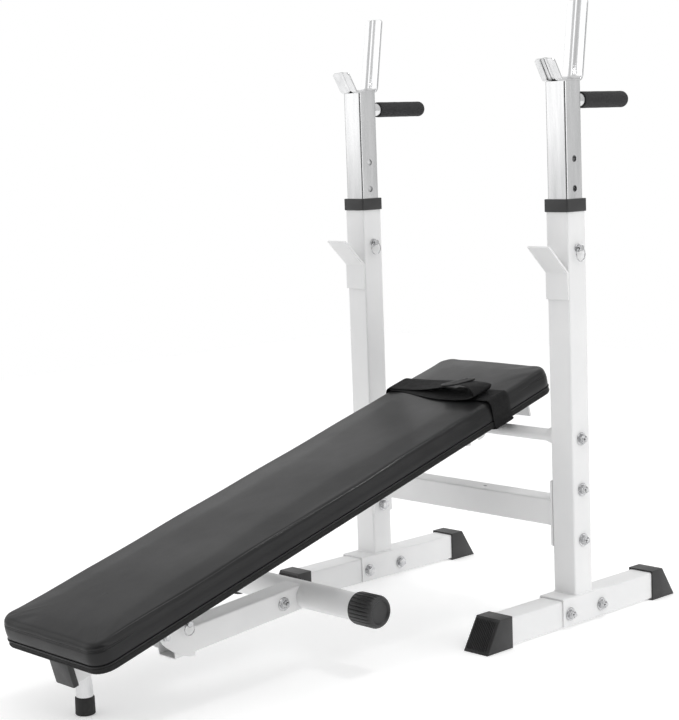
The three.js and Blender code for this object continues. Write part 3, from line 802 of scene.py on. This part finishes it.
def applied(piece):
    """Bakes a piece's modifiers into its mesh."""
    depsgraph = bpy.context.evaluated_depsgraph_get()
    mesh = bpy.data.meshes.new_from_object(piece.evaluated_get(depsgraph))
    piece.modifiers.clear()
    piece.data = mesh


def inflate(piece, held, pressure, share, cap, frames=20):
    """Cloth under light pressure; firm foam lets only a share of the swelling show."""
    start = [v.co.copy() for v in piece.data.vertices]
    group = piece.vertex_groups.new(name="held")
    group.add([v.index for v in piece.data.vertices if held(v.co)], 1, "REPLACE")
    cloth = modify(piece, "CLOTH")
    cloth.settings.vertex_group_mass = "held"
    cloth.settings.use_pressure = True
    cloth.settings.uniform_pressure_force = pressure
    cloth.settings.quality = 5
    cloth.settings.effector_weights.gravity = 0
    cloth.collision_settings.use_collision = False
    cloth.point_cache.frame_start, cloth.point_cache.frame_end = 1, frames
    for number in range(1, frames + 1):
        bpy.context.scene.frame_set(number)
    applied(piece)
    bpy.context.scene.frame_set(1)
    for vertex, was in zip(piece.data.vertices, start):
        move = (vertex.co - was) * share
        vertex.co = was + (move.normalized() * cap if move.length > cap else move)


def build_pad():
    unbench = BENCH.inverted()
    piece = bpy.data.objects.new("pad_cushion", pad_mesh())
    bpy.context.scene.collection.objects.link(piece)
    inflate(piece, lambda p: (unbench @ p).z < BOARD_T + 0.007,
            pressure=4, share=0.10, cap=0.0022)
    modify(piece, "SUBSURF", levels=1, render_levels=1)
    applied(piece)
    piece.data.materials.clear()
    piece.data.materials.append(LOOKS["black_vinyl"])
    piece.data.shade_smooth()
    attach(piece, "bench")
    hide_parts("seat_pad")


def build_board():
    """The cloth-wrapped board under the pad."""
    bm = bmesh.new()
    rings = []
    for k, h in ((0.0060, 0.0006), (0.0022, 0.0006), (0.0008, 0.0012), (0.0002, 0.0026),
                 (0.0000, 0.0060), (0.0002, BOARD_T - 0.0034), (0.0010, BOARD_T - 0.0020),
                 (0.0030, BOARD_T - 0.0012)):
        rings.append([bm.verts.new(bench(x, y, z)) for x, y, z, _, _ in outline(k, h)])
    for one, two in zip(rings, rings[1:]):
        for i in range(len(one)):
            j = (i + 1) % len(one)
            bm.faces.new((one[i], one[j], two[j], two[i]))
    bm.faces.new(rings[0])
    bm.faces.new(rings[-1])
    bmesh.ops.triangulate(bm, faces=[f for f in bm.faces if len(f.verts) > 4])
    finish("board_wrapped", bm, ["pad_board"], sharp=60)


def build_welts():
    """The cord between band and board, and the stitched rows along the board's cloth."""
    for name, k, h, radius, slot in (
            ("pad_piping", 0.0004, BOARD_T - 0.0004, 0.0015, "black_vinyl"),
            ("board_hem", 0.0001, 0.0042, 0.0006, "board_cloth")):
        bm = bmesh.new()
        path = [bench(x, y, z) for x, y, z, _, _ in outline(k, h)]
        add_tube(bm, path, radius, closed=True, around=8)
        finish(name, bm, [], slot, "bench", sharp=80)


# ---- strap ----
def spline(points, steps=8):
    """Catmull-Rom through tuples of numbers."""
    made = []
    last = len(points) - 1
    for i in range(last):
        near = (points[max(i - 1, 0)], points[i], points[i + 1], points[min(i + 2, last)])
        for k in range(steps):
            t = k / steps
            made.append(tuple(
                0.5 * (2 * b + (c - a) * t + (2 * a - 5 * b + 4 * c - d) * t * t
                       + (3 * b - a - 3 * c + d) * t ** 3)
                for a, b, c, d in zip(*near)
            ))
    made.append(tuple(points[last]))
    return made


def ribbon(name, stations, thick=0.0018, columns=10, nodes=()):
    """Webbing along (x, s, h, width, roll, skew) stations; roll tips its width, skew swings it."""
    bm = bmesh.new()
    line = spline(stations)
    layers = []
    for way in (0.5, -0.5):
        rows = []
        for i, (x, s, h, width, roll, skew) in enumerate(line):
            one, two = line[max(i - 1, 0)], line[min(i + 1, len(line) - 1)]
            along = Vector((two[0] - one[0], 0, two[2] - one[2])).normalized()
            out = Vector((-along.z, 0, along.x))
            swung = Vector((math.sin(skew) * along.x, math.cos(skew), 0))
            across = (swung * math.cos(roll) + out * math.sin(roll)).normalized()
            normal = (out * math.cos(roll) - Vector((0, 1, 0)) * math.sin(roll)).normalized()
            row = []
            for c in range(columns + 1):
                k = c / columns - 0.5
                edge = 1 - 0.55 * max(0, abs(k) * 2 - 0.86) / 0.14
                p = Vector((x, s, h)) + across * width * k + normal * thick * way * edge
                row.append(bm.verts.new(BENCH @ p))
            rows.append(row)
        for one, two in zip(rows, rows[1:]):
            for c in range(columns):
                bm.faces.new((one[c], one[c + 1], two[c + 1], two[c]))
        layers.append(rows)
    top, under = layers
    for i in range(len(line) - 1):
        for c in (0, -1):
            bm.faces.new((top[i][c], top[i + 1][c], under[i + 1][c], under[i][c]))
    for i in (0, -1):
        for c in range(columns):
            bm.faces.new((top[i][c], top[i][c + 1], under[i][c + 1], under[i][c]))
    finish(name, bm, list(nodes), "webbing", "bench", sharp=60)


def build_strap():
    """The band round the pad, and the long tail that loops up through the slider and back."""
    half = PAD_W / 2 + 0.0017
    top = PAD_TOP + 0.0026
    w = STRAP_W
    ribbon("strap_band", [
        (-0.080, 0.972, -0.0022, w, 0, 0),
        (0.030, 0.970, -0.0022, w, 0, 0),
        (half - 0.006, 0.970, -0.0020, w, 0, 0),
        (half, 0.970, 0.006, w, 0, 0),
        (half + 0.0006, 0.970, 0.022, w, 0, 0),
        (half + 0.0012, 0.971, top - 0.010, w, 0, 0),
        (half - 0.006, 0.972, top + 0.0004, w, 0, 0),
        (half - 0.020, 0.972, top + 0.0006, w, 0, 0),
        (0.070, 0.971, top, w, 0, 0),
        (0.020, 0.970, top, w, 0, 0),
    ], nodes=["strap"])
    ribbon("strap_loop", [
        (-0.060, 0.972, -0.0026, w, 0, 0),
        (-half + 0.006, 0.973, -0.0024, w, 0, 0),
        (-half, 0.974, 0.006, w, 0, 0),
        (-half - 0.0010, 0.975, 0.022, w, 0, 0),
        (-half - 0.0006, 0.976, top - 0.010, w, 0, 0),
        (-half + 0.009, 0.976, top + 0.0022, w, 0, 0),
        (-half + 0.030, 0.977, top + 0.0030, w, 0, 0),
        (-0.060, 0.978, top + 0.0042, w, 0, 0),
        (-0.020, 0.978, top + 0.0080, w, -0.06, 0),
        (0.016, 0.977, top + 0.0130, w, -0.14, 0),
        (0.042, 0.976, top + 0.0170, w, -0.20, 0),
        (0.070, 0.974, top + 0.0200, w, -0.26, 0.06),
        (0.092, 0.972, top + 0.0180, w, -0.18, 0.08),
        (0.104, 0.968, top + 0.0120, w, 0, 0.10),
        (0.099, 0.963, top + 0.0056, w, 0.10, 0.08),
        (0.080, 0.958, top + 0.0036, w, 0.05, 0.05),
        (0.045, 0.955, top + 0.0030, w, 0, 0),
        (0.005, 0.956, top + 0.0022, w, 0, 0),
        (-0.045, 0.964, top + 0.0012, w, 0, 0),
        (-0.090, 0.972, top + 0.0008, w, 0, 0),
        (-half + 0.016, 0.974, top + 0.0004, w, 0, 0),
    ])
    slider()


def slider():
    """Two-bar strap slider, tipped up where the webbing passes through it."""
    bm = bmesh.new()
    tip = Matrix.Rotation(math.radians(-8), 4, "Y") @ Matrix.Rotation(-0.20, 4, "X")
    place = BENCH @ Matrix.Translation((0.038, 0.976, PAD_TOP + 0.0216)) @ tip

    def bar(points, radius, closed):
        path = resample([place @ Vector(p) for p in points], 0.004, closed)
        add_tube(bm, path, radius, closed, 10)

    frame_line = [(x, y, 0) for x, y in rounded_rect(0.036, 0.057, 0.005, 5)]
    bar(frame_line, 0.0024, True)
    bar([(-0.003, -0.0285, 0.0012), (-0.003, 0.0285, 0.0012)], 0.0019, False)
    bar([(0.004, -0.0285, 0.0006), (0.004, 0.0285, 0.0006)], 0.0015, False)
    finish("strap_slider", bm, ["strap_buckle"], sharp=60)


# ---- studio ----
def area_light(name, at, aim, size, power):
    data = bpy.data.lights.new(name, "AREA")
    data.shape = "RECTANGLE"
    data.size, data.size_y = size
    data.energy = power
    lamp = bpy.data.objects.new(name, data)
    bpy.context.scene.collection.objects.link(lamp)
    lamp.location = at
    lamp.rotation_mode = "QUATERNION"
    lamp.rotation_quaternion = (Vector(aim) - Vector(at)).to_track_quat("-Z", "Y")


def build_world():
    """A soft white room that is plain white to the camera, with one black flag in it."""
    world = bpy.data.worlds.new("studio")
    world.use_nodes = True
    tree = world.node_tree
    light = tree.nodes["Background"]
    light.inputs["Color"].default_value = (1, 1, 1, 1)
    place = tree.nodes.new("ShaderNodeTexCoord")
    split = tree.nodes.new("ShaderNodeSeparateXYZ")
    tree.links.new(place.outputs["Generated"], split.inputs["Vector"])
    sky = tree.nodes.new("ShaderNodeMapRange")
    sky.inputs["From Max"].default_value = 0.8
    sky.inputs["To Min"].default_value = 0.68
    sky.inputs["To Max"].default_value = 0.80
    tree.links.new(split.outputs["Z"], sky.inputs["Value"])
    # a black flag in the studio gives the metal its dark edge lines
    toward = tree.nodes.new("ShaderNodeVectorMath")
    toward.operation = "DOT_PRODUCT"
    toward.inputs[1].default_value = (0.726, -0.687, -0.02)
    tree.links.new(place.outputs["Generated"], toward.inputs[0])
    flag = tree.nodes.new("ShaderNodeMapRange")
    flag.inputs["From Min"].default_value = 0.74
    flag.inputs["From Max"].default_value = 0.84
    flag.inputs["To Min"].default_value = 1
    flag.inputs["To Max"].default_value = 0.08
    tree.links.new(toward.outputs["Value"], flag.inputs["Value"])
    both = tree.nodes.new("ShaderNodeMath")
    both.operation = "MULTIPLY"
    tree.links.new(sky.outputs["Result"], both.inputs[0])
    tree.links.new(flag.outputs["Result"], both.inputs[1])
    tree.links.new(both.outputs["Value"], light.inputs["Strength"])
    seen = tree.nodes.new("ShaderNodeBackground")
    mix = tree.nodes.new("ShaderNodeMixShader")
    path = tree.nodes.new("ShaderNodeLightPath")
    tree.links.new(path.outputs["Is Camera Ray"], mix.inputs["Fac"])
    tree.links.new(light.outputs["Background"], mix.inputs[1])
    tree.links.new(seen.outputs["Background"], mix.inputs[2])
    seen.inputs["Color"].default_value = (1, 1, 1, 1)
    tree.links.new(mix.outputs["Shader"], tree.nodes["World Output"].inputs["Surface"])
    bpy.context.scene.world = world


def build_floor():
    bm = bmesh.new()
    bmesh.ops.create_grid(bm, x_segments=4, y_segments=4, size=3.6)
    mesh = bpy.data.meshes.new("floor")
    bm.to_mesh(mesh)
    bm.free()
    floor = bpy.data.objects.new("floor", mesh)
    floor.location.z = -0.0005
    bpy.context.scene.collection.objects.link(floor)
    look = Shader("floor", (0.9, 0.9, 0.9), 0.9, specular=0.1)
    look.color(look.noise(3), (0.89, 0.89, 0.89), (0.91, 0.91, 0.91))
    look.main.inputs["Emission Color"].default_value = (1, 1, 1, 1)
    look.main.inputs["Emission Strength"].default_value = 0.3
    mesh.materials.append(look.material)


def build_studio():
    bpy.context.scene.view_settings.view_transform = "Standard"
    build_world()
    area_light("key", (3.2, -0.6, 3.2), (0, 0, 0.5), (2.4, 2.4), 26)
    area_light("low_side", (3.6, 1.4, 1.3), (0, -0.2, 0.3), (2.6, 1.8), 14)
    area_light("fill", (-2.6, -3.0, 2.2), (0, 0, 0.4), (3.8, 3.2), 29)
    area_light("sheen", (-2.5, 2.1, 1.9), (0, 0.5, 0.4), (2.4, 1.6), 3)
    area_light("spark", (0.6, 1.1, 3.3), (0, -0.2, 0.3), (0.5, 0.5), 14)
    build_floor()


for node, thing in NODES.items():
    thing.data.materials.clear()
    thing.data.materials.append(LOOKS[SLOT_OF[node]])
build_rack()
build_bench_steel()
build_leg()
build_pad()
build_board()
build_welts()
build_strap()
build_studio()
